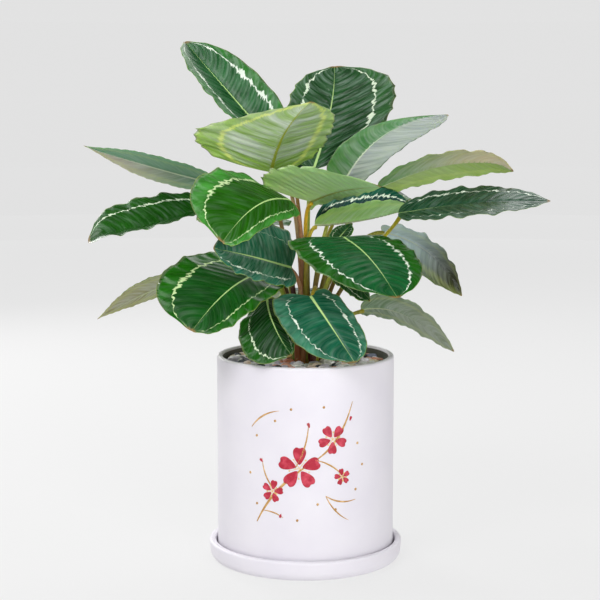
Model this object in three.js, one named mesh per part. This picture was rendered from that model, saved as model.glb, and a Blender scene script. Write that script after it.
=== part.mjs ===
// A rose-painted prayer plant (calathea) in a white cylinder pot on its saucer.
// Millimetres, +Z up. The origin is the middle of the saucer's underside, and the front is -Y.
import * as THREE from "three";
import { mergeGeometries } from "three/addons/utils/BufferGeometryUtils.js";

// ---- driving dimensions -------------------------------------------------------------------

const gap = 0.3; // clearance left between pieces that rest on each other

const potRadius = 90;
const potTop = 210.5;
const potWall = 5.6;
const potFloor = 8;
const potFootBevel = 2.5;
const potRimRound = 1.8;
const drainHoleRadius = 8;

const saucerTop = 20;
const saucerRadius = 99;
const saucerFootRadius = 93;
const saucerInnerRadius = 92;
const saucerFloor = 4;
const saucerRimRound = 2.2;

const potBottom = saucerFloor + gap;
const potInnerRadius = potRadius - potWall;

const gravelTop = 204;
const gravelDepth = 30;
const gravelBump = 1.6; // how far the pebbles rise and fall about the gravel's level
const gravelBottom = gravelTop - gravelDepth;

const crownRadius = 20;
const crownTop = 207;
const crownShoulder = 2;

const bladeThickness = 1;
const bladeAround = 12; // corners of a blade's cross-section
const bladeAlong = 14; // steps from a blade's base to its tip
const bladeEdge = 0.4; // how fully a blade keeps its thickness out to the margin: 0 full, 1 lens-shaped

const petioleRadius = 2.1;
const petioleSides = 7;
const petioleSteps = 9;
const petioleLift = 0.85; // from a stalk's end to the middle of the blade that lies on it
const petioleReach = 2; // how far a stalk runs on under its blade

const roundSegments = 56;

// ---- the leaves ---------------------------------------------------------------------------
// Each leaf has five points: where blade and stalk meet, the middle of the midrib, the tip, and
// the left and right margins level with that middle, seen on the upper face with the tip ahead.
// root is where its stalk leaves the crown (x, y), rise how far it climbs before it bends, and
// run how far it runs in line with the midrib before it meets the blade; a stalk that bends
// sharply there is drawn towards a via point instead.
// widest is where along the midrib the blade is broadest, lobe how far it reaches back beside the
// stalk, taper how much its outer half narrows, corner how sharp its right side's widest place is,
// and ruffle, waves and phase shape its wavy margin.

const leaves = [
  {
    name: "top_left",
    base: [-34, 15, 425], middle: [-75, 42, 470], tip: [-124, 75, 525],
    left: [-97, 5, 472], right: [-40, 44, 484],
    lobe: -4, ruffle: 1.2, root: [-2.6, 4.5], rise: 110, run: 40,
  },
  {
    name: "top_right",
    base: [8, 12, 397], middle: [25, 45, 454], tip: [30, 70, 499],
    left: [-20, 35, 459], right: [93, 52, 466],
    widest: 0.52, lobe: 0, taper: 0.22, ruffle: 2, root: [2.6, 4.5], rise: 100, run: 30,
  },
  {
    name: "upper_front",
    base: [-34, -22, 396], middle: [-21, -52, 434], tip: [3, -70, 464],
    left: [25, -20, 432], right: [-108, -25, 442],
    widest: 0.44, lobe: -5, taper: 0.1, corner: 0.85, ruffle: 2, root: [-7.8, -4.5], rise: 100, run: 25,
  },
  {
    name: "centre_front",
    base: [5, -24, 367], middle: [36, -60, 381], tip: [70, -95, 386],
    left: [34, -28, 369], right: [-22, -88, 405],
    lobe: 11, ruffle: 1.5, root: [2.6, -4.5], rise: 90, run: 20, widest: 0.4,
  },
  {
    name: "upper_right",
    base: [40, 12, 386], middle: [81, 6, 433], tip: [141, 12, 452],
    left: [101, -12, 422], right: [49, 2, 433],
    lobe: 6, taper: 0.25, ruffle: 1, root: [5.2, 0], rise: 90, run: 40,
  },
  {
    name: "far_right",
    base: [74, 8, 380], middle: [143, 15, 403], tip: [209, 10, 402],
    left: [146, 50, 384], right: [138, -35, 417],
    lobe: 4, taper: 0.15, ruffle: 1.2, root: [7.8, 4.5], rise: 62, run: 45,
  },
  {
    name: "right_side",
    base: [91, -45, 357], middle: [159, -60, 368], tip: [235, -60, 370],
    left: [161, -22, 382], right: [151, -104, 358],
    lobe: 0, taper: 0.3, ruffle: 1.5, root: [13, -4.5], rise: 70, run: 15, via: [84, -9, 329],
  },
  {
    name: "folded_right",
    base: [9, -22, 344], middle: [58, -26, 350], tip: [104, -12, 360],
    left: [60, -2, 380], right: [58, -56, 369],
    lobe: 0, ruffle: 1, root: [0, -9], rise: 60, run: 15, taper: 0.35,
  },
  {
    name: "right_drooping",
    base: [78, 25, 334], middle: [130, 55, 309], tip: [166, 85, 261],
    left: [112, 60, 290], right: [136, 28, 320],
    lobe: 9, widest: 0.4, taper: 0.5, ruffle: 2, root: [13, 4.5], rise: 70, run: 30,
  },
  {
    name: "front_right",
    base: [37, -50, 334], middle: [62, -87, 317], tip: [85, -121, 285],
    left: [108, -62, 318], right: [-4, -118, 319],
    lobe: 3, ruffle: 1.5, root: [5.2, -9], rise: 90, run: 30, widest: 0.38,
  },
  {
    name: "low_front_right",
    base: [5, -52, 276], middle: [24, -75, 251], tip: [46, -95, 219],
    left: [52, -72, 253], right: [-19, -82, 244],
    lobe: 16, ruffle: 2, root: [7.8, -13.5], rise: 55, run: 35, via: [14, -36, 303],
  },
  {
    name: "low_right",
    base: [56, -5, 257], middle: [102, 20, 249], tip: [154, 45, 207],
    left: [97, 55, 234], right: [103, -15, 268],
    lobe: 4, taper: 0.3, ruffle: 1.2, root: [15.6, 0], rise: 25, run: 25,
  },
  {
    name: "low_front_left",
    base: [-38, -42, 271], middle: [-31, -66, 250], tip: [-15, -82, 224],
    left: [-17, -58, 246], right: [-61, -80, 226],
    lobe: 10, ruffle: 2, root: [-7.8, -13.5], rise: 50, run: 20,
  },
  {
    name: "low_left",
    base: [-44, -20, 296], middle: [-76, -55, 282], tip: [-108, -85, 248],
    left: [-52, -76, 264], right: [-138, -40, 301],
    lobe: 22, ruffle: 2, root: [-10.4, -9], rise: 60, run: 25, via: [-34, -14, 301],
  },
  {
    name: "front_left",
    base: [-14, -42, 303], middle: [-52, -78, 318], tip: [-85, -115, 329],
    left: [-47, -100, 297], right: [-48, -48, 352],
    lobe: 8, widest: 0.4, ruffle: 2, root: [-2.6, -13.5], rise: 45, run: 20,
  },
  {
    name: "high_front_left",
    base: [-15, -58, 371], middle: [-45, -98, 369], tip: [-76, -128, 338],
    left: [-37, -113, 348], right: [-100, -83, 396],
    lobe: 20, ruffle: 2, root: [-5.2, -9], rise: 120, run: 30, widest: 0.48,
  },
  {
    name: "left_side",
    base: [-98, -10, 360], middle: [-155, -12, 344], tip: [-215, -20, 332],
    left: [-151, -48, 343], right: [-163, 20, 370],
    lobe: 4, widest: 0.54, taper: 0, ruffle: 1.5, root: [-13, -4.5], rise: 90, run: 40,
  },
  {
    name: "high_left",
    base: [-94, 5, 385], middle: [-150, 15, 399], tip: [-223, 20, 420],
    left: [-150, -22, 413], right: [-158, 44, 384],
    lobe: 3, widest: 0.4, taper: 0.8, ruffle: 0.4, root: [-10.4, 0], rise: 90, run: 40,
  },
  {
    name: "left_drooping",
    base: [-111, 20, 284], middle: [-160, 42, 271], tip: [-219, 70, 237],
    left: [-164, 0, 286], right: [-165, 70, 256],
    lobe: 3, widest: 0.4, taper: 0.75, ruffle: 0.5, root: [-13, 4.5], rise: 60, run: 35,
  },
  {
    name: "young_right",
    base: [31, -6, 325], middle: [37, -10, 334], tip: [45, -12, 343],
    left: [26, 0, 336], right: [45, -18, 332],
    lobe: 0, ruffle: 0, root: [7.8, -4.5], rise: 60, run: 15,
  },
  {
    name: "inner_right",
    base: [28, -22, 297], middle: [46, -40, 291], tip: [62, -58, 274],
    left: [53, -31, 291], right: [37, -52, 282],
    lobe: 0, ruffle: 1, root: [10.4, -9], rise: 45, run: 12,
  },
  {
    name: "inner_left",
    base: [-24, -10, 258], middle: [-42, -16, 254], tip: [-60, -20, 240],
    left: [-48, -36, 246], right: [-38, -2, 259],
    lobe: 4, ruffle: 1, root: [-16.5, 0], rise: 25, run: 15, via: [-21, -6, 238],
  },
  {
    name: "back_left",
    base: [-42, 66, 338], middle: [-72, 112, 346], tip: [-96, 152, 330],
    left: [-110, 90, 344], right: [-32, 134, 340],
    lobe: 8, ruffle: 2, root: [-10.4, 9], rise: 90, run: 25,
  },
  {
    name: "back_right",
    base: [34, 56, 292], middle: [60, 96, 296], tip: [85, 135, 275],
    left: [23, 116, 291], right: [98, 77, 289],
    lobe: 6, ruffle: 2, root: [10.4, 9], rise: 50, run: 20,
  },
  {
    name: "back_low",
    base: [-16, 62, 268], middle: [-26, 106, 262], tip: [-34, 148, 234],
    left: [-66, 96, 258], right: [14, 112, 260],
    lobe: 8, ruffle: 2, root: [-2.6, 13.5], rise: 30, run: 20,
  },
  {
    name: "back_high",
    base: [-14, 62, 396], middle: [-24, 92, 428], tip: [-34, 124, 446],
    left: [-64, 78, 424], right: [16, 88, 428],
    lobe: 6, ruffle: 2, root: [0, 9], rise: 110, run: 30,
  },
  {
    name: "back_right_high",
    base: [44, 62, 362], middle: [78, 98, 374], tip: [108, 130, 364],
    left: [46, 124, 368], right: [98, 66, 362],
    lobe: 6, ruffle: 2, root: [5.2, 9], rise: 90, run: 30,
  },
];

const leafDefaults = { widest: 0.46, taper: 0.08, waves: 5, phase: 0, corner: 0 };

// ---- materials ----------------------------------------------------------------------------

function material(color, roughness) {
  return new THREE.MeshStandardMaterial({ color, roughness, metalness: 0 });
}

const glazedWhite = material(0xe9e6ea, 0.45);
const soilBrown = material(0x2c2119, 0.95);
const pebbleGrey = material(0x9a9396, 0.8);
const crownBrown = material(0x7c4a2a, 0.7);
const bladeGreen = material(0x1f5a2c, 0.4);
const stalkOlive = material(0x8f8a26, 0.5);

// ---- pot, saucer and fill -----------------------------------------------------------------

const plant = new THREE.Group();
const upright = new THREE.Group(); // turns a lathe's +Y axis to +Z
upright.rotation.x = Math.PI / 2;
plant.add(upright);

function addTurned(name, profile, finish) {
  const points = profile.map(([radius, height]) => new THREE.Vector2(radius, height));
  points.push(points[0].clone());
  const mesh = new THREE.Mesh(new THREE.LatheGeometry(points, roundSegments), finish);
  mesh.name = name;
  upright.add(mesh);
  return mesh;
}

// Points of a half-round lip from the outer to the inner face of a wall.
function lip(outerRadius, innerRadius, top, round) {
  return [
    [outerRadius, top - round],
    [outerRadius - round * 0.3, top - round * 0.3],
    [outerRadius - round, top],
    [innerRadius + round, top],
    [innerRadius + round * 0.3, top - round * 0.3],
    [innerRadius, top - round],
  ];
}

addTurned(
  "saucer",
  [
    [0, 0],
    [saucerFootRadius, 0],
    [saucerRadius - 1.5, 5],
    ...lip(saucerRadius, saucerInnerRadius, saucerTop, saucerRimRound),
    [saucerInnerRadius, saucerFloor],
    [0, saucerFloor],
  ],
  glazedWhite,
);

addTurned(
  "pot",
  [
    [drainHoleRadius, potBottom],
    [potRadius - potFootBevel, potBottom],
    [potRadius, potBottom + potFootBevel],
    ...lip(potRadius, potInnerRadius, potTop, potRimRound),
    [potInnerRadius, potBottom + potFloor],
    [drainHoleRadius, potBottom + potFloor],
  ],
  glazedWhite,
);

addTurned(
  "potting_soil",
  [
    [0, potBottom + potFloor + gap],
    [potInnerRadius - gap, potBottom + potFloor + gap],
    [potInnerRadius - gap, gravelBottom - gap],
    [0, gravelBottom - gap],
  ],
  soilBrown,
);

const gravelRings = 6;
const gravelHole = crownRadius + gap;
const gravelRadius = potInnerRadius - gap;
const gravelSurface = [];
for (let ring = 0; ring <= gravelRings; ring++)
  gravelSurface.push([
    gravelRadius + ((gravelHole - gravelRadius) * ring) / gravelRings,
    gravelTop,
  ]);
const gravel = addTurned(
  "gravel_layer",
  [[gravelHole, gravelBottom], [gravelRadius, gravelBottom], ...gravelSurface],
  pebbleGrey,
);
const gravelPoints = gravel.geometry.attributes.position;
for (let i = 0; i < gravelPoints.count; i++) {
  const x = gravelPoints.getX(i);
  const y = gravelPoints.getZ(i);
  if (gravelPoints.getY(i) > gravelBottom + gravelDepth / 2)
    gravelPoints.setY(i, gravelTop + gravelBump * Math.sin(x * 0.31 + 1) * Math.cos(y * 0.27));
}

addTurned(
  "rhizome_crown",
  [
    [0, gravelBottom],
    [crownRadius, gravelBottom],
    [crownRadius, crownTop - crownShoulder],
    [crownRadius - crownShoulder / 2, crownTop - crownShoulder / 4],
    [crownRadius - crownShoulder, crownTop],
    [0, crownTop],
  ],
  crownBrown,
);

// ---- blades and stalks --------------------------------------------------------------------

const vector = (list) => new THREE.Vector3(...list);

// The points and directions of one leaf.
function leafFrame(leaf) {
  const base = vector(leaf.base);
  const middle = vector(leaf.middle);
  const tip = vector(leaf.tip);
  const chord = tip.clone().sub(base);
  const bow = middle.clone().sub(base.clone().add(tip).multiplyScalar(0.5));
  const across = vector(leaf.left).sub(vector(leaf.right));
  return {
    ...leafDefaults,
    ...leaf,
    base,
    chord,
    bow,
    across,
    sides: [vector(leaf.left).sub(middle), vector(leaf.right).sub(middle)],
  };
}

// The midrib's direction at s, from 0 at the stalk to 1 at the tip.
function midribDirection(frame, s) {
  return frame.chord
    .clone()
    .addScaledVector(frame.bow, 4 * (1 - 2 * s))
    .normalize();
}

// Half-width at s as a share of the widest place: a full oval, blunter at the tip than at the base.
// A cornered blade runs straight from the widest place of its right side to the tip.
function widthShare(frame, s, v) {
  const centred = s ** (Math.log(0.5) / Math.log(frame.widest));
  const offWidest = Math.abs(2 * centred - 1);
  const bluntness = centred > 0.5 ? 3 : 2.4;
  const oval = Math.max(0, 1 - offWidest ** bluntness) ** 0.52;
  const straightness = v < 0 && centred > 0.5 ? frame.corner : 0;
  const outline = oval + (1 - offWidest - oval) * straightness;
  const outerHalf = Math.max(0, (s - 0.5) / 0.5);
  return outline * (1 - frame.taper * outerHalf ** 2);
}

// The upper normal of the whole blade at s.
function bladeNormal(frame, s) {
  return midribDirection(frame, s).cross(frame.across).normalize();
}

// A point of the blade's middle surface: s runs along the midrib, v from -1 (right margin) to 1 (left).
function bladePoint(frame, s, v) {
  const direction = midribDirection(frame, s);
  const side = frame.sides[v > 0 ? 0 : 1];
  const share = widthShare(frame, s, v);
  const reach = Math.abs(v);
  const normal =
    v > 0
      ? direction.clone().cross(side).normalize()
      : side.clone().cross(direction).normalize();
  const turn = 2 * Math.PI * (frame.waves * s + frame.phase + (v > 0 ? 0 : 0.35));
  const waves = 0.75 * Math.sin(turn) + 0.4 * Math.sin(1.7 * turn + 2);
  const wave = frame.ruffle * reach ** 3 * share * waves;
  const setback = 1.6 * frame.lobe * reach ** 1.5 * (1 - s) ** 2 * share;
  return frame.base
    .clone()
    .addScaledVector(frame.chord, s)
    .addScaledVector(frame.bow, 4 * s * (1 - s))
    .addScaledVector(side, reach * share)
    .addScaledVector(normal, wave)
    .addScaledVector(direction, -setback);
}

// A blade is a ball pressed flat and laid along the midrib: its poles are the base and the tip,
// its equator is the margin, and its two halves are the upper face and the underside. The lower
// half mirrors the upper one facet for facet, so the two faces of a wavy blade never cross.
function bladeGeometry(frame) {
  const upperHalf = new THREE.SphereGeometry(1, bladeAround / 2, bladeAlong, 0, Math.PI);
  const lowerHalf = upperHalf.clone().scale(1, 1, -1);
  lowerHalf.index.array.reverse(); // a mirrored facet faces inwards until its corners are read backwards
  const geometry = mergeGeometries([upperHalf, lowerHalf]);
  const points = geometry.attributes.position;
  const edge = 1e-6;
  for (let i = 0; i < points.count; i++) {
    const x = points.getX(i);
    const z = points.getZ(i);
    const s = (1 - points.getY(i)) / 2;
    const ringRadius = Math.hypot(x, z);
    const isPole = ringRadius < edge;
    const v = isPole ? 0 : 1 - (2 * Math.acos(THREE.MathUtils.clamp(x / ringRadius, -1, 1))) / Math.PI;
    const isMargin = Math.abs(z) < edge;
    const fullness = isMargin ? 0 : Math.abs(z / ringRadius) ** bladeEdge;
    const skin = (Math.sign(z) * fullness * bladeThickness) / 2;
    const place = bladePoint(frame, s, v).addScaledVector(bladeNormal(frame, s), skin);
    points.setXYZ(i, place.x, place.y, place.z);
  }
  return geometry;
}

// A round stalk along a smooth curve: straight up from the crown, then over to lie in line with the
// midrib, just under the blade's base.
function petioleGeometry(frame) {
  const start = new THREE.Vector3(...frame.root, crownTop + gap);
  const direction = midribDirection(frame, 0);
  const normal = bladeNormal(frame, 0.03);
  const seat = frame.base.clone().addScaledVector(direction, petioleReach);
  const leaving = start.clone().add(new THREE.Vector3(0, 0, frame.rise));
  const arriving = frame.via ? vector(frame.via) : seat.clone().addScaledVector(direction, -frame.run);
  const steepness = seat.clone().sub(arriving).normalize().dot(normal);
  const depth = petioleLift + petioleRadius * Math.sqrt(1 - steepness ** 2);
  const end = seat.addScaledVector(normal, -depth);
  const route = new THREE.CubicBezierCurve3(start, leaving, arriving, end);
  const section = new THREE.Shape();
  for (let corner = 0; corner < petioleSides; corner++) {
    const angle = (2 * Math.PI * corner) / petioleSides;
    const x = petioleRadius * Math.cos(angle);
    const y = petioleRadius * Math.sin(angle);
    if (corner === 0) section.moveTo(x, y);
    else section.lineTo(x, y);
  }
  section.closePath();
  return new THREE.ExtrudeGeometry(section, { steps: petioleSteps, extrudePath: route });
}

for (const leaf of leaves) {
  const frame = leafFrame(leaf);
  const blade = new THREE.Mesh(bladeGeometry(frame), bladeGreen);
  blade.name = `blade_${leaf.name}`;
  const petiole = new THREE.Mesh(petioleGeometry(frame), stalkOlive);
  petiole.name = `petiole_${leaf.name}`;
  plant.add(blade, petiole);
}

export default plant;
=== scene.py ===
import math
import random

import bmesh
import bpy
import numpy as np
from mathutils import Matrix, Vector


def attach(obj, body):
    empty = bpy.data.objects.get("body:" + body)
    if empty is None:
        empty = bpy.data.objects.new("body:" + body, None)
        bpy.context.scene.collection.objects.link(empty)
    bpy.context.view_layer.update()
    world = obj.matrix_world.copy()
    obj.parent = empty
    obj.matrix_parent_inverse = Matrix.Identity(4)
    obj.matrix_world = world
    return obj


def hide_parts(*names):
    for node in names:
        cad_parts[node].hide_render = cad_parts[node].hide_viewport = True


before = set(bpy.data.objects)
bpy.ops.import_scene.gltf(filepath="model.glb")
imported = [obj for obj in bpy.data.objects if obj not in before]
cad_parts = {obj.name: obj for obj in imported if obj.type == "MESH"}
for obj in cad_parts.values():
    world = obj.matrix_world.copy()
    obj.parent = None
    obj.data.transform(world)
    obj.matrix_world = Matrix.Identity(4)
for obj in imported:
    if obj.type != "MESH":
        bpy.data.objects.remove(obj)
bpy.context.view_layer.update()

MM = 0.001
BODY = "root"
scene = bpy.context.scene

# ---- camera -------------------------------------------------------------------------------

camera = bpy.data.objects.new("camera", bpy.data.cameras.new("camera"))
camera.location = (0, -1.631, 0.475)  # metres
camera.rotation_euler = (math.radians(82.68), 0, math.radians(0.196))
camera.data.sensor_width = 36
camera.data.lens = 97.26
scene.collection.objects.link(camera)
scene.camera = camera
scene.view_settings.view_transform = "Standard"

# ---- dimensions ---------------------------------------------------------------------------

CLEARANCE = 0.3  # between pieces that rest on each other
SAUCER_RADIUS = 98.9
SAUCER_TOP = 20
SAUCER_FOOT = 93  # radius of the face it stands on
SAUCER_SHOULDER = (97.6, 5)  # radius and height where the foot's slope meets the wall
SAUCER_INNER = 92
SAUCER_FLOOR = 4
POT_RADIUS = 90
POT_WALL = 5.6
POT_INNER = POT_RADIUS - POT_WALL
POT_TOP = 210.5
POT_BOTTOM = SAUCER_FLOOR + CLEARANCE
POT_FLOOR = POT_BOTTOM + 8
DRAIN_RADIUS = 8
SOIL_TOP = 174
GRAVEL_BOTTOM = SOIL_TOP + CLEARANCE
GRAVEL_BED = 196  # top of the grit that the pebbles lie in
GRAVEL_TOP = 204
CROWN_RADIUS = 20
CROWN_TOP = 207
STALK_FOOT = CROWN_TOP + CLEARANCE
STALK_RADIUS = 2.1  # at the blade
STALK_LIFT = 0.85  # from a stalk's skin to the middle of the blade that lies on it
STALK_REACH = 2  # how far a stalk runs on under its blade

# ---- the leaves ---------------------------------------------------------------------------
# Where a leaf is: base, middle and tip are points of its midrib. left and right are the margins
# level with the middle, seen on the upper face with the tip ahead.
# Its outline: widest is where along the midrib it is broadest, as a share of its length. lobe is
# how far it reaches back beside the stalk, taper how much its outer half narrows, and corner how
# sharp the widest place of its right side is. ruffle is how high the margin's waves are, and hook
# how strongly the tip bends down. scallop is the depth and number of the margin's teeth, and a
# negative depth turns them into rounded lobes.
# Its stalk: root is where it leaves the crown, rise how far it climbs before it bends, run how far
# it runs in line with the midrib, and via a point it is drawn towards instead. stalk is its
# colours, foot to blade.
# Both faces: veins is the number of side veins, quilt the depth of the furrows between them, and
# rib_fade how much slimmer the midrib shows.
# Its upper face: face is the greens inside and outside the painted band. ring is the band's
# half-width, ring_sides a factor on that for the left and the right side, and warmth how yellow
# the band is. bloom is the grey haze between the side veins, partly the leaf's own grey and partly
# painted sheen on the ridges there.
# Its underside: under is the greens from base to tip, and under_left one for its left half. silver
# is how strong the pale streaks are, partly the leaf's own colour and partly painted sheen, and
# silver_and_sheen_left the same for the left half. rib_tone is how olive the midrib is, and glow
# how strong the painted light is where the band shines through.

LEAF_DEFAULTS = dict(
    widest=0.46, lobe=0, taper=0.08, corner=0, ruffle=2, hook=0, scallop=(0.6, 5),
    via=None, stalk=("6d3f26", "8f8a26"), veins=15, quilt=0.3, rib_fade=0,
    face=("1a4a26", "1f5c1c"), warmth=0.3, bloom_and_sheen=0.1, ring=1.1, ring_sides=(1, 1),
    under=("7d9468", "8a9a78"), under_left=None, silver_and_sheen=0.3, rib_tone=0.3, glow=0.12,
)

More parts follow.
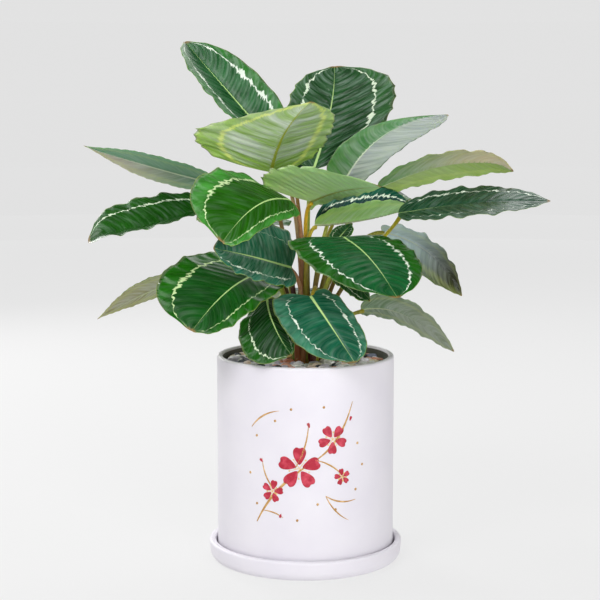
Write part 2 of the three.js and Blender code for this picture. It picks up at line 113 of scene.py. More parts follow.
LEAVES = [
    dict(name="top_left", base=(-34, 15, 425), middle=(-75, 42, 470), tip=(-124, 75, 525),
         left=(-97, 5, 472), right=(-40, 44, 484), lobe=-4, ruffle=1.2,
         root=(-2.6, 4.5), rise=110, run=40, stalk=("8a6a4a", "a08a5a"),
         face=("23602f", "387a34"), warmth=0.05, bloom_and_sheen=0.25, ring=1.5, ring_sides=(0.7, 1.1)),
    dict(name="top_right", base=(8, 12, 397), middle=(25, 45, 454), tip=(30, 70, 499),
         left=(-20, 35, 459), right=(93, 52, 466), widest=0.52, taper=0.22, scallop=(2.5, 9),
         root=(2.6, 4.5), rise=100, run=30, stalk=("6f7a26", "9aa83a"),
         face=("26502a", "345f34"), warmth=0.25, bloom_and_sheen=0.35, ring=1.4, quilt=1.3),
    dict(name="upper_front", base=(-34, -22, 396), middle=(-21, -52, 434), tip=(3, -70, 464),
         left=(25, -20, 432), right=(-108, -25, 442), widest=0.44, lobe=-5, taper=0.1, corner=0.85,
         scallop=(3, 11),
         root=(-7.8, -4.5), rise=100, run=25, stalk=("54283a", "7d6a2a"),
         quilt=0.35, veins=14, under=("7ea044", "8ca866"), silver_and_sheen=0.7, rib_tone=1, glow=0.5),
    dict(name="centre_front", base=(5, -24, 367), middle=(36, -60, 381), tip=(70, -95, 386),
         left=(34, -28, 369), right=(-22, -88, 405), widest=0.4, lobe=11, ruffle=1.5,
         scallop=(2.4, 10),
         root=(2.6, -4.5), rise=90, run=20, stalk=("94801e", "c8a21e"),
         under=("b0d488", "a4cc8c"), silver_and_sheen=0.25, rib_tone=0.9),
    dict(name="upper_right", base=(40, 12, 386), middle=(81, 6, 433), tip=(141, 12, 452),
         left=(101, -12, 422), right=(49, 2, 433), lobe=6, taper=0.25, ruffle=1,
         root=(5.2, 0), rise=90, run=40, stalk=("7d6a2a", "a8b040"),
         # Its underside's halves differ, the left pale grey and more streaked and the right dark
         # green: partly its own colour, partly painted light and shade on the two halves of the
         # fold.
         rib_fade=0.7, under=("447e3c", "4c8450"), under_left="929e97", silver_and_sheen=0.35,
         silver_and_sheen_left=0.7, rib_tone=0, glow=0.02),
    dict(name="far_right", base=(74, 8, 380), middle=(143, 15, 403), tip=(209, 10, 402),
         left=(146, 50, 384), right=(138, -35, 417), lobe=4, taper=0.15, ruffle=1.2, hook=3,
         scallop=(2, 11),
         root=(7.8, 4.5), rise=62, run=45, stalk=("7a5a22", "9aa030"),
         rib_fade=1.4, under=("4f8a2c", "c9bd98"), under_left="8aa550", silver_and_sheen_left=0.1,
         rib_tone=0.05),
    dict(name="right_side", base=(91, -45, 357), middle=(159, -60, 368), tip=(235, -60, 370),
         left=(161, -22, 382), right=(151, -104, 358), taper=0.3, ruffle=1.5, scallop=(-3.2, 7),
         root=(13, -4.5), rise=70, run=15, via=(84, -9, 329), stalk=("5d3526", "a59a1e"),
         face=("1a462e", "1c4a30"), warmth=0.1, bloom_and_sheen=0.2, ring=1.2, ring_sides=(1, 0.3),
         rib_fade=0.9, quilt=0.5),
    dict(name="folded_right", base=(9, -22, 344), middle=(58, -26, 350), tip=(104, -12, 360),
         left=(60, -2, 380), right=(58, -56, 369), taper=0.35, ruffle=1,
         root=(0, -9), rise=60, run=15, stalk=("7a7a20", "b8a430"),
         face=("143c3a", "1a5a44"), warmth=0.2, bloom_and_sheen=0.2, under=("90c05c", "90bc74"),
         rib_tone=0.4),
    dict(name="right_drooping", base=(78, 25, 334), middle=(130, 55, 309), tip=(166, 85, 261),
         left=(112, 60, 290), right=(136, 28, 320), widest=0.4, lobe=9, taper=0.5,
         root=(13, 4.5), rise=70, run=30,
         rib_fade=0.9, under=("b4c8ce", "34361a"), silver_and_sheen=0.25),
    dict(name="front_right", base=(37, -50, 334), middle=(62, -87, 317), tip=(85, -121, 285),
         left=(108, -62, 318), right=(-4, -118, 319), widest=0.38, lobe=3, ruffle=1.5,
         root=(5.2, -9), rise=90, run=30, stalk=("6a2a26", "9aa030"),
         face=("145a2c", "1c5c10"), warmth=0.05, ring=1.3, quilt=0.6),
    dict(name="low_front_right", base=(5, -52, 276), middle=(24, -75, 251), tip=(46, -95, 219),
         left=(52, -72, 253), right=(-19, -82, 244), lobe=16,
         root=(7.8, -13.5), rise=55, run=35, via=(14, -36, 303), stalk=("5d2b26", "a08a1e"),
         face=("1a5e44", "3c7c60"), warmth=0.05, bloom_and_sheen=0.12, ring=0.75, quilt=0.2),
    dict(name="low_right", base=(56, -5, 257), middle=(102, 20, 249), tip=(154, 45, 207),
         left=(97, 55, 234), right=(103, -15, 268), lobe=4, taper=0.3, ruffle=1.2,
         root=(15.6, 0), rise=25, run=25,
         rib_fade=0.8, under=("5a7a52", "808c74"), silver_and_sheen=0.35, rib_tone=0.4),
    dict(name="low_front_left", base=(-38, -42, 271), middle=(-31, -66, 250), tip=(-15, -82, 224),
         left=(-17, -58, 246), right=(-61, -80, 226), lobe=10,
         root=(-7.8, -13.5), rise=50, run=20, stalk=("8a4a1e", "9aa030"),
         face=("083a0c", "1c5c10"), warmth=0.4, ring=0.8, ring_sides=(0.3, 1), quilt=0.2),
    dict(name="low_left", base=(-44, -20, 296), middle=(-76, -55, 282), tip=(-108, -85, 248),
         left=(-52, -76, 264), right=(-138, -40, 301), lobe=22,
         root=(-10.4, -9), rise=60, run=25, via=(-34, -14, 301), stalk=("6a7a24", "8fa030"),
         face=("0b4e10", "1a6406"), warmth=0.8, bloom_and_sheen=0.05, ring=1.2, ring_sides=(0.35, 1.1),
         quilt=0.12),
    dict(name="front_left", base=(-14, -42, 303), middle=(-52, -78, 318), tip=(-85, -115, 329),
         left=(-47, -100, 297), right=(-48, -48, 352), widest=0.4, lobe=8,
         root=(-2.6, -13.5), rise=45, run=20, stalk=("8a5a30", "a5764f"),
         face=("28684c", "2f7058"), warmth=0.1, bloom_and_sheen=0.35, ring=0.8, ring_sides=(0.9, 0.15)),
    dict(name="high_front_left", base=(-15, -58, 371), middle=(-45, -98, 369),
         tip=(-76, -128, 338),
         left=(-37, -113, 348), right=(-100, -83, 396), widest=0.48, lobe=20,
         root=(-5.2, -9), rise=120, run=30, stalk=("8a5a30", "a5764f"),
         face=("1e5a04", "3f8c30"), warmth=0.75, bloom_and_sheen=0.08, ring_sides=(0.45, 1.35), quilt=0.2),
    dict(name="left_side", base=(-98, -10, 360), middle=(-155, -12, 344), tip=(-215, -20, 332),
         left=(-151, -48, 343), right=(-163, 20, 370), widest=0.54, lobe=4, taper=0, ruffle=1.5,
         hook=3, scallop=(2.5, 5),
         root=(-13, -4.5), rise=90, run=40, stalk=("a08a4a", "8f8a26"),
         face=("165008", "1c5410"), bloom_and_sheen=0.15, ring=1.2, ring_sides=(0, 1), rib_fade=1.2),
    dict(name="high_left", base=(-94, 5, 385), middle=(-150, 15, 399), tip=(-223, 20, 420),
         left=(-150, -22, 413), right=(-158, 44, 384), widest=0.4, lobe=3, taper=0.8, ruffle=0.4,
         root=(-10.4, 0), rise=90, run=40, stalk=("54302a", "8f8a26"),
         under=("5c8a6a", "b0aa9a"), under_left="6a9878", silver_and_sheen=0.35, silver_and_sheen_left=0.1, rib_tone=0),
    dict(name="left_drooping", base=(-111, 20, 284), middle=(-160, 42, 271), tip=(-219, 70, 237),
         left=(-164, 0, 286), right=(-165, 70, 256), widest=0.4, lobe=3, taper=0.75, ruffle=0.5,
         root=(-13, 4.5), rise=60, run=35,
         under=("8f9a70", "8a865a"), silver_and_sheen=0.4, rib_tone=0.5),
    dict(name="young_right", base=(31, -6, 325), middle=(37, -10, 334), tip=(45, -12, 343),
         left=(26, 0, 336), right=(45, -18, 332), ruffle=0,
         root=(7.8, -4.5), rise=60, run=15,
         face=("245a2c", "2f6a2c"), ring=0.5, veins=7, under=("3f7a35", "3f7a35")),
    dict(name="inner_right", base=(28, -22, 297), middle=(46, -40, 291), tip=(62, -58, 274),
         left=(53, -31, 291), right=(37, -52, 282), ruffle=1,
         root=(10.4, -9), rise=45, run=12, stalk=("9a9428", "a8b040"),
         face=("1c4a22", "245a20"), ring=0.5, veins=8),
    dict(name="inner_left", base=(-24, -10, 258), middle=(-42, -16, 254), tip=(-60, -20, 240),
         left=(-48, -36, 246), right=(-38, -2, 259), lobe=4, ruffle=1,
         root=(-16.5, 0), rise=25, run=15, via=(-21, -6, 238),
         face=("2f5a2a", "3a6a2c"), ring=0.5, veins=8),
    dict(name="back_left", base=(-42, 66, 338), middle=(-72, 112, 346), tip=(-96, 152, 330),
         left=(-110, 90, 344), right=(-32, 134, 340), lobe=8,
         root=(-10.4, 9), rise=90, run=25, stalk=("86802c", "9a9a3a"),
         face=("1a4a28", "22601c")),
    dict(name="back_right", base=(34, 56, 292), middle=(60, 96, 296), tip=(85, 135, 275),
         left=(23, 116, 291), right=(98, 77, 289), lobe=6,
         root=(10.4, 9), rise=50, run=20,
         face=("1c4c24", "24601c")),
    dict(name="back_low", base=(-16, 62, 268), middle=(-26, 106, 262), tip=(-34, 148, 234),
         left=(-66, 96, 258), right=(14, 112, 260), lobe=8,
         root=(-2.6, 13.5), rise=30, run=20,
         face=("184634", "1f5a2c")),
    dict(name="back_high", base=(-14, 62, 396), middle=(-24, 92, 428), tip=(-34, 124, 446),
         left=(-64, 78, 424), right=(16, 88, 428), lobe=6,
         root=(0, 9), rise=110, run=30, stalk=("6a2a30", "8a6a2a"),
         face=("18462c", "1f5a24")),
    dict(name="back_right_high", base=(44, 62, 362), middle=(78, 98, 374), tip=(108, 130, 364),
         left=(46, 124, 368), right=(98, 66, 362), lobe=6, hook=3,
         root=(5.2, 9), rise=90, run=30,
         face=("1b4a26", "22601f")),
]

# ---- nodes and colours --------------------------------------------------------------------
# A noise on Object coordinates has its Scale in cells a metre, so that 500 is a grain of 2 mm. The
# comment beside each gives that size. A Bump's Distance is in metres.


def linear(colour_hex):
    """An sRGB hex colour as linear RGBA."""
    channels = [int(colour_hex[i:i + 2], 16) / 255 for i in (0, 2, 4)]
    return (*[c / 12.92 if c <= 0.04045 else ((c + 0.055) / 1.055) ** 2.4 for c in channels], 1)


def set_inputs(tree, node, inputs):
    """Gives inputs, by name or number, a value, a socket or the first output of a node."""
    for name, value in inputs.items():
        by_name = (i for i in node.inputs if i.enabled and i.name == name)
        socket = node.inputs[name] if isinstance(name, int) else next(by_name)
        if isinstance(value, bpy.types.Node):
            value = next(o for o in value.outputs if o.enabled)
        if isinstance(value, bpy.types.NodeSocket):
            tree.links.new(value, socket)
        else:
            socket.default_value = value


def add(tree, kind, inputs=None, **settings):
    """Adds a node with its settings and its inputs. A Mix is of colours unless it says not."""
    node = tree.nodes.new("ShaderNode" + kind)
    if kind == "Mix":
        node.data_type = "RGBA"
    for name, value in settings.items():
        setattr(node, name, value)
    set_inputs(tree, node, inputs or {})
    return node


def new_material(name, **shader_values):
    """A material with its Principled shader, and the constant values set on the shader itself."""
    made = bpy.data.materials.new(name)
    made.use_nodes = True
    shader = made.node_tree.nodes["Principled BSDF"]
    for socket, value in shader_values.items():
        shader.inputs[socket.replace("_", " ")].default_value = value
    return made, made.node_tree, shader


# ---- leaf materials -----------------------------------------------------------------------
# Each blade carries attributes that its materials read, lengths in millimetres.
# lines: distance from the midrib, from the margin and from the middle of the painted band.
# grain: number of side veins passed, place along the midrib (0 to 1), a number of its own.
# upper_marks: half-width of the band, how warm its white is, how much grey haze (partly painted
# sheen).
# under_marks: how strong the painted light is where the band shines through, how silvery the
# face is (partly painted sheen), how olive its midrib is.

VEIN_SPACING = 7.5
VEIN_LINE = {"From Min": 0.95, "From Max": 1}  # the part of a furrow's wave that its line takes up


def read_blade(tree, marks):
    """What a face reads from its blade: the three parts each of lines, grain and its own marks,
    its green, and the furrows along the side veins as a wave."""
    stored = [add(tree, "Attribute", attribute_name=name) for name in ("lines", "grain", marks)]
    parts = [add(tree, "SeparateXYZ", {0: each.outputs["Vector"]}).outputs for each in stored]
    green = add(tree, "Attribute", attribute_name="leaf_green").outputs["Color"]
    turn = add(tree, "Math", {0: parts[1][0], 1: math.tau}, operation="MULTIPLY")
    return *parts, green, add(tree, "Math", {0: turn}, operation="COSINE")


def add_streaks(tree, vein, rib, seed, scale, stretch, detail):
    """Noise drawn out along the side veins. scale is in cells a millimetre across them."""
    across = add(tree, "Math", {0: vein, 1: VEIN_SPACING}, operation="MULTIPLY")
    outward = add(tree, "Math", {0: rib, 1: stretch}, operation="MULTIPLY")
    place = add(tree, "CombineXYZ", {"X": across, "Y": outward, "Z": seed})
    return add(tree, "TexNoise", {"Vector": place, "Scale": scale, "Detail": detail})


def add_dry_tip(tree, along, patches, colour):
    """Turns the last few millimetres of a blade brown, with an uneven end."""
    uneven = add(tree, "Math", {0: patches, 1: 0.03, 2: along}, operation="MULTIPLY_ADD")
    dry = add(tree, "MapRange", {"Value": uneven, "From Min": 0.995, "From Max": 1.01,
                                 "To Max": 0.85}, interpolation_type="SMOOTHSTEP")
    return add(tree, "Mix", {"Factor": dry, "A": colour, "B": linear("8a6a3c")})


def leaf_upper_waxy():
    """Fresh leaf, waxy upper face: deep green clouded light and dark, satin gloss, quilted between
    the side veins, with a feathered cream band, a pale midrib and a thin yellow-green margin."""
    made, tree, shader = new_material("leaf_upper_waxy", IOR=1.45, Specular_IOR_Level=0.24)
    lines, grain, marks, green, furrow = read_blade(tree, "upper_marks")
    rib, edge, band = lines
    vein, along, seed = grain
    band_width, warmth, bloom_and_sheen = marks

    clouds = add_streaks(tree, vein, rib, seed, 0.09, 0.45, 2)
    streaks = add_streaks(tree, vein, rib, seed, 0.3, 0.16, 3)
    fine = add_streaks(tree, vein, rib, seed, 1.1, 0.1, 2)
    shade = add(tree, "Math", {0: streaks, 1: 0.15, 2: clouds}, operation="MULTIPLY_ADD")
    shade = add(tree, "Math", {0: fine, 1: 0.1, 2: shade}, operation="MULTIPLY_ADD")
    bright = add(tree, "MapRange", {"Value": shade, "From Min": 0.47, "From Max": 0.87,
                                    "To Min": 0.66, "To Max": 1.22})
    colour = add(tree, "VectorMath", {0: green, "Scale": bright}, operation="SCALE")
    # The grey haze between the side veins: partly the leaf's own grey, partly painted sheen on the
    # ridges.
    haze_and_sheen = add(tree, "MapRange", {"Value": streaks, "From Min": 0.48, "From Max": 0.72})
    haze_and_sheen = add(tree, "Math", {0: haze_and_sheen, 1: bloom_and_sheen}, operation="MULTIPLY")
    colour = add(tree, "Mix", {"Factor": haze_and_sheen, "A": colour, "B": linear("9cb3a6")})
    on_vein = add(tree, "MapRange", {"Value": furrow, **VEIN_LINE, "To Max": 0.2})
    colour = add(tree, "Mix", {"Factor": on_vein, "A": colour, "B": linear("4f8a3c")})

    # The band is a row of strokes along the side veins. Each ends where it likes on either side.
    # The whole row wanders by up to 2 mm, thins out in places and begins a little past the base.
    inner_ends = add_streaks(tree, vein, rib, seed, 0.5, 0.03, 1)
    seed_outside = add(tree, "Math", {0: seed, 1: 31}, operation="ADD")
    outer_ends = add_streaks(tree, vein, rib, seed_outside, 0.5, 0.03, 1)
    wander = add_streaks(tree, vein, rib, seed_outside, 0.22, 0.05, 1)
    breaks = add_streaks(tree, vein, rib, seed, 0.11, 0.1, 1)
    wandering = add(tree, "Math", {0: wander, 1: 0.5}, operation="SUBTRACT")
    off_band = add(tree, "Math", {0: wandering, 1: 4, 2: band}, operation="MULTIPLY_ADD")
    is_inside = add(tree, "Math", {0: off_band, 1: 0}, operation="LESS_THAN")
    ends = add(tree, "Mix", {"Factor": is_inside, "A": outer_ends, "B": inner_ends},
               data_type="FLOAT")
    ends = add(tree, "MapRange", {"Value": ends, "From Min": 0.4, "From Max": 0.7,
                                  "To Min": 0.25, "To Max": 2.8})
    varied = add(tree, "MapRange", {"Value": breaks, "From Min": 0.34, "From Max": 0.6,
                                    "To Min": 0.3, "To Max": 1.15})
    half = add(tree, "Math", {0: ends, 1: varied}, operation="MULTIPLY")
    half = add(tree, "Math", {0: half, 1: band_width}, operation="MULTIPLY")
    off_band = add(tree, "Math", {0: off_band}, operation="ABSOLUTE")
    outside = add(tree, "Math", {0: off_band, 1: half}, operation="SUBTRACT")
    painted = add(tree, "MapRange", {"Value": outside, "From Min": -0.5, "From Max": 0.35,
                                     "To Min": 0.95, "To Max": 0},
                  interpolation_type="SMOOTHSTEP")
    begun = add(tree, "Math", {0: wandering, 1: 0.25, 2: along}, operation="MULTIPLY_ADD")
    begun = add(tree, "MapRange", {"Value": begun, "From Min": 0.03, "From Max": 0.14},
                interpolation_type="SMOOTHSTEP")
    painted = add(tree, "Math", {0: painted, 1: begun}, operation="MULTIPLY")
    cream = add(tree, "Mix", {"Factor": warmth, "A": linear("e9f3e6"), "B": linear("bcd98a")})
    colour = add(tree, "Mix", {"Factor": painted, "A": colour, "B": cream})

    rib_width = add(tree, "MapRange", {"Value": along, "From Min": 0.02, "From Max": 0.9,
                                       "To Min": 1.4, "To Max": 0.1})
    off_rib = add(tree, "Math", {0: rib, 1: rib_width}, operation="SUBTRACT")
    on_rib = add(tree, "MapRange", {"Value": off_rib, "From Min": -0.3, "From Max": 0.25,
                                    "To Min": 1, "To Max": 0}, interpolation_type="SMOOTHSTEP")
    colour = add(tree, "Mix", {"Factor": on_rib, "A": colour, "B": linear("b9d98c")})
    on_margin = add(tree, "MapRange", {"Value": edge, "From Min": 0.25, "From Max": 0.9,
                                       "To Min": 0.8, "To Max": 0})
    colour = add(tree, "Mix", {"Factor": on_margin, "A": colour, "B": linear("9cc04a")})
    colour = add_dry_tip(tree, along, streaks, colour)

    roughness = add(tree, "MapRange", {"Value": streaks, "From Min": 0.3, "From Max": 0.7,
                                       "To Min": 0.22, "To Max": 0.4})
    place = add(tree, "TexCoord").outputs["Object"]
    # 0.7 mm, leaf cells drawn coarse enough to show
    cells = add(tree, "TexNoise", {"Vector": place, "Scale": 1400, "Detail": 1})
    relief = add(tree, "Math", {0: cells, 1: 0.04, 2: shade}, operation="MULTIPLY_ADD")
    bump = add(tree, "Bump", {"Strength": 0.28, "Distance": 0.0009, "Height": relief})
    set_inputs(tree, shader, {"Base Color": colour, "Roughness": roughness, "Normal": bump})
    return made


def leaf_underside_satin():
    """Fresh leaf, underside: paler, satin to matt, with fine streaks along the side veins whose
    pale ones are partly painted sheen, a thick midrib, and painted light where the band shines
    through."""
    made, tree, shader = new_material(
        "leaf_underside_satin", IOR=1.42, Specular_IOR_Level=0.3, Subsurface_Weight=0.35,
        Subsurface_Radius=(0.8, 1, 0.4), Subsurface_Scale=0.0016)
    lines, grain, marks, green, furrow = read_blade(tree, "under_marks")
    rib, _, band = lines
    vein, along, seed = grain
    glow, silver_and_sheen, olive = marks

    broad = add_streaks(tree, vein, rib, seed, 0.1, 0.12, 2)
    fine = add_streaks(tree, vein, rib, seed, 0.9, 0.06, 3)
    strokes = add_streaks(tree, vein, rib, seed, 0.45, 0.1, 2)
    # Pale streaks: partly the leaf's own silvery colour, partly painted sheen on the ridges between
    # the veins.
    mixed = add(tree, "Math", {0: strokes, 1: 0.6, 2: broad}, operation="MULTIPLY_ADD")
    pale = add(tree, "MapRange", {"Value": mixed, "From Min": 0.66, "From Max": 1.0})
    inward = add(tree, "MapRange", {"Value": band, "From Min": -12, "From Max": 8,
                                    "To Min": 1.1, "To Max": 0.35})
    pale = add(tree, "Math", {0: pale, 1: inward}, operation="MULTIPLY")
    pale = add(tree, "Math", {0: pale, 1: silver_and_sheen}, operation="MULTIPLY")
    colour = add(tree, "Mix", {"Factor": pale, "A": green, "B": linear("c2c9c4")})
    thin = add(tree, "MapRange", {"Value": fine, "From Min": 0.35, "From Max": 0.7,
                                  "To Min": 0.93, "To Max": 1.07})
    colour = add(tree, "VectorMath", {0: colour, "Scale": thin}, operation="SCALE")
    on_vein = add(tree, "MapRange", {"Value": furrow, **VEIN_LINE, "To Max": 0.14})
    dark = add(tree, "VectorMath", {0: colour, "Scale": 0.7}, operation="SCALE")
    colour = add(tree, "Mix", {"Factor": on_vein, "A": colour, "B": dark})

    # Painted light: the band glows here as if lit through the blade from the other face.
    teeth = add(tree, "Math", {0: fine, 1: 0.5}, operation="SUBTRACT")
    off_band = add(tree, "Math", {0: teeth, 1: 14, 2: band}, operation="MULTIPLY_ADD")
    off_band = add(tree, "Math", {0: off_band}, operation="ABSOLUTE")
    through = add(tree, "MapRange", {"Value": off_band, "From Min": 1, "From Max": 4.5,
                                     "To Min": 1, "To Max": 0}, interpolation_type="SMOOTHSTEP")
    through = add(tree, "Math", {0: through, 1: glow}, operation="MULTIPLY")
    colour = add(tree, "Mix", {"Factor": through, "A": colour, "B": linear("dfe57c")})

    rib_width = add(tree, "MapRange", {"Value": along, "From Max": 0.95, "To Min": 1.9,
                                       "To Max": 0.1})
    off_rib = add(tree, "Math", {0: rib, 1: rib_width}, operation="SUBTRACT")
    on_rib = add(tree, "MapRange", {"Value": off_rib, "From Min": -0.3, "From Max": 0.5,
                                    "To Min": 0.9, "To Max": 0}, interpolation_type="SMOOTHSTEP")
    rib_colour = add(tree, "Mix", {"Factor": olive, "A": linear("d3dfc2"), "B": linear("8f9a1c")})
    colour = add(tree, "Mix", {"Factor": on_rib, "A": colour, "B": rib_colour})
    colour = add_dry_tip(tree, along, broad, colour)

    roughness = add(tree, "MapRange", {"Value": broad, "To Min": 0.6, "To Max": 0.42})
    relief = add(tree, "Math", {0: furrow, 1: 0.2, 2: fine}, operation="MULTIPLY_ADD")
    bump = add(tree, "Bump", {"Strength": 0.3, "Distance": 0.0006, "Height": relief})
    set_inputs(tree, shader, {"Base Color": colour, "Roughness": roughness, "Normal": bump})
    return made


def leaf_stalk_smooth():
    """Fresh leaf stalk: maroon to olive, satin, with fine lengthwise ribs and small pale flecks."""
    made, tree, shader = new_material("leaf_stalk_smooth", IOR=1.42)
    colour = add(tree, "Attribute", attribute_name="stalk_colour").outputs["Color"]
    place = add(tree, "TexCoord").outputs["Object"]
    stretched = add(tree, "Mapping", {"Vector": place, "Scale": (900, 900, 60)})  # 1 by 17 mm
    ribs = add(tree, "TexNoise", {"Vector": stretched, "Scale": 1, "Detail": 2})
    flecks = add(tree, "TexNoise", {"Vector": place, "Scale": 260, "Detail": 3})  # 4 mm
    shade = add(tree, "MapRange", {"Value": ribs, "From Min": 0.3, "From Max": 0.7,
                                   "To Min": 0.72, "To Max": 1.2})
    colour = add(tree, "VectorMath", {0: colour, "Scale": shade}, operation="SCALE")
    fleck = add(tree, "MapRange", {"Value": flecks, "From Min": 0.62, "From Max": 0.75,
                                   "To Max": 0.5})
    colour = add(tree, "Mix", {"Factor": fleck, "A": colour, "B": linear("b9b06a")})
    roughness = add(tree, "MapRange", {"Value": ribs, "To Min": 0.36, "To Max": 0.56})
    bump = add(tree, "Bump", {"Strength": 0.4, "Distance": 0.0004, "Height": ribs})
    set_inputs(tree, shader, {"Base Color": colour, "Roughness": roughness, "Normal": bump})
    return made


# ---- pot, saucer and fill materials -------------------------------------------------------


def stoneware_white_glaze():
    """Stoneware in a matt white glaze: faintly lilac, soft highlights, slight clouding where the
    glaze lies thicker, and the fine orange peel that a sprayed glaze keeps after firing."""
    made, tree, shader = new_material("stoneware_white_glaze", IOR=1.5)
    place = add(tree, "TexCoord").outputs["Object"]
    clouds = add(tree, "TexNoise", {"Vector": place, "Scale": 22, "Detail": 3})  # 45 mm
    peel = add(tree, "TexNoise", {"Vector": place, "Scale": 520, "Detail": 2})  # 2 mm
    colour = add(tree, "Mix", {"Factor": clouds, "A": linear("d9d5df"), "B": linear("e6e3e8")})
    roughness = add(tree, "MapRange", {"Value": clouds, "To Min": 0.42, "To Max": 0.56})
    bump = add(tree, "Bump", {"Strength": 0.12, "Distance": 0.0003, "Height": peel})
    set_inputs(tree, shader, {"Base Color": colour, "Roughness": roughness, "Normal": bump})
    return made


def stoneware_stains_and_shade():
    """The pot's inner wall: unglazed stoneware, dark grey-green, matt, with water marks in bands.
    Its dark is partly stains from damp soil and algae and partly painted shade for the inside of
    the pot."""
    made, tree, shader = new_material("stoneware_stains_and_shade", IOR=1.5, Roughness=0.75)
    place = add(tree, "TexCoord").outputs["Object"]
    bands = add(tree, "Mapping", {"Vector": place, "Scale": (25, 25, 160)})  # 40 by 6 mm
    marks = add(tree, "TexNoise", {"Vector": bands, "Scale": 1, "Detail": 4})
    # Dark grey-green: partly stains, partly painted shade inside the pot.
    colour = add(tree, "Mix", {"Factor": marks, "A": linear("34382f"), "B": linear("767a6c")})
    bump = add(tree, "Bump", {"Strength": 0.3, "Distance": 0.0006, "Height": marks})
    set_inputs(tree, shader, {"Base Color": colour, "Normal": bump})
    return made


def peat_soil_damp():
    """Damp potting soil of peat and bark: near black-brown crumbs, fully matt."""
    made, tree, shader = new_material("peat_soil_damp", Roughness=0.95)
    place = add(tree, "TexCoord").outputs["Object"]
    crumbs = add(tree, "TexVoronoi", {"Vector": place, "Scale": 260})  # 4 mm
    blend = add(tree, "TexNoise", {"Vector": place, "Scale": 90, "Detail": 5})  # 11 mm
    colour = add(tree, "Mix", {"Factor": blend, "A": linear("17100b"), "B": linear("4a3626")})
    bump = add(tree, "Bump", {"Strength": 0.9, "Distance": 0.002,
                              "Height": crumbs.outputs["Distance"]})
    set_inputs(tree, shader, {"Base Color": colour, "Normal": bump})
    return made


def river_pebble_tumbled():
    """Tumbled river pebbles: each its own colour, mottled and faintly veined, dull with a slight
    polish on the worn faces."""
    made, tree, shader = new_material("river_pebble_tumbled", IOR=1.5)
    own = add(tree, "Attribute", attribute_name="pebble_colour").outputs["Color"]
    place = add(tree, "TexCoord").outputs["Object"]
    mottle = add(tree, "TexNoise", {"Vector": place, "Scale": 420, "Detail": 4})  # 2.4 mm
    layers = add(tree, "TexNoise", {"Vector": place, "Scale": 150, "Detail": 2,
                                    "Distortion": 1.5})  # 7 mm
    shade = add(tree, "MapRange", {"Value": mottle, "From Min": 0.3, "From Max": 0.7,
                                   "To Min": 0.8, "To Max": 1.15})
    colour = add(tree, "VectorMath", {0: own, "Scale": shade}, operation="SCALE")
    veined = add(tree, "MapRange", {"Value": layers, "From Min": 0.58, "From Max": 0.64,
                                    "To Max": 0.25})
    colour = add(tree, "Mix", {"Factor": veined, "A": colour, "B": linear("d8d2cc")})
    roughness = add(tree, "MapRange", {"Value": mottle, "To Min": 0.4, "To Max": 0.7})
    bump = add(tree, "Bump", {"Strength": 0.35, "Distance": 0.0005, "Height": mottle})
    set_inputs(tree, shader, {"Base Color": colour, "Roughness": roughness, "Normal": bump})
    return made


def stem_base_fibrous():
    """The plant's stem base: old sheaths, orange-brown, fibrous and matt, with painted shade
    darkening the folds.
    """
    made, tree, shader = new_material("stem_base_fibrous", Roughness=0.7)
    place = add(tree, "TexCoord").outputs["Object"]
    stretched = add(tree, "Mapping", {"Vector": place, "Scale": (420, 420, 40)})  # 2.4 by 25 mm
    fibres = add(tree, "TexNoise", {"Vector": stretched, "Scale": 1, "Detail": 4})
    patches = add(tree, "TexNoise", {"Vector": place, "Scale": 90, "Detail": 2})  # 11 mm
    colour = add(tree, "Mix", {"Factor": patches, "A": linear("6a4420"), "B": linear("a8823a")})
    # Painted shade: darker where the fibres' bump is low, in the folds between them.
    shade = add(tree, "MapRange", {"Value": fibres, "From Min": 0.3, "From Max": 0.7,
                                   "To Min": 0.45, "To Max": 1.25})
    colour = add(tree, "VectorMath", {0: colour, "Scale": shade}, operation="SCALE")
    bump = add(tree, "Bump", {"Strength": 0.7, "Distance": 0.001, "Height": fibres})
    set_inputs(tree, shader, {"Base Color": colour, "Normal": bump})
    return made


def overglaze_paint(name, thin_hex, full_hex):
    """Overglaze enamel brushed on the fired glaze: the colour thins where the brush ran dry."""
    made, tree, shader = new_material(name, Roughness=0.4)
    place = add(tree, "TexCoord").outputs["Object"]
    load = add(tree, "TexNoise", {"Vector": place, "Scale": 160, "Detail": 4})  # 6 mm
    fill = add(tree, "MapRange", {"Value": load, "From Min": 0.3, "From Max": 0.55})
    colour = add(tree, "Mix", {"Factor": fill, "A": linear(thin_hex), "B": linear(full_hex)})
    bump = add(tree, "Bump", {"Strength": 0.2, "Distance": 0.0002, "Height": load})
    set_inputs(tree, shader, {"Base Color": colour, "Normal": bump})
    return made


# ---- finishing a piece --------------------------------------------------------------------


def finish_piece(name, mesh, materials, replaced):
    """Makes a mesh into a piece of the plant: smooth, in its materials, riding on the body."""
    for made in materials:
        mesh.materials.append(made)
    mesh.polygons.foreach_set("use_smooth", [True] * len(mesh.polygons))
    piece = bpy.data.objects.new(name, mesh)
    scene.collection.objects.link(piece)
    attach(piece, BODY)
    if replaced:
        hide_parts(*replaced)


def to_mesh(name, bm):
    """Ends a bmesh as a mesh."""
    mesh = bpy.data.meshes.new(name)
    bm.to_mesh(mesh)
    bm.free()
    return mesh


def read_points(mesh):
    points = np.empty(len(mesh.vertices) * 3)
    mesh.vertices.foreach_get("co", points)
    return points.reshape(-1, 3)


def write_points(mesh, points):
    mesh.vertices.foreach_set("co", np.asarray(points, float).ravel())
    mesh.update()


def write_attribute(mesh, name, rows):
    """Stores three numbers or a colour of four with each point of a mesh."""
    rows = np.asarray(rows, np.float32)
    kind, field = (("FLOAT_VECTOR", "vector") if rows.shape[1] == 3 else ("FLOAT_COLOR", "color"))
    mesh.attributes.new(name, kind, "POINT").data.foreach_set(field, rows.ravel())


# ---- turned pieces ------------------------------------------------------------------------

TURN_STEPS = 144
SAME_PLACE_M = 1e-5  # how near to a corner of the profile its ring of edges lies


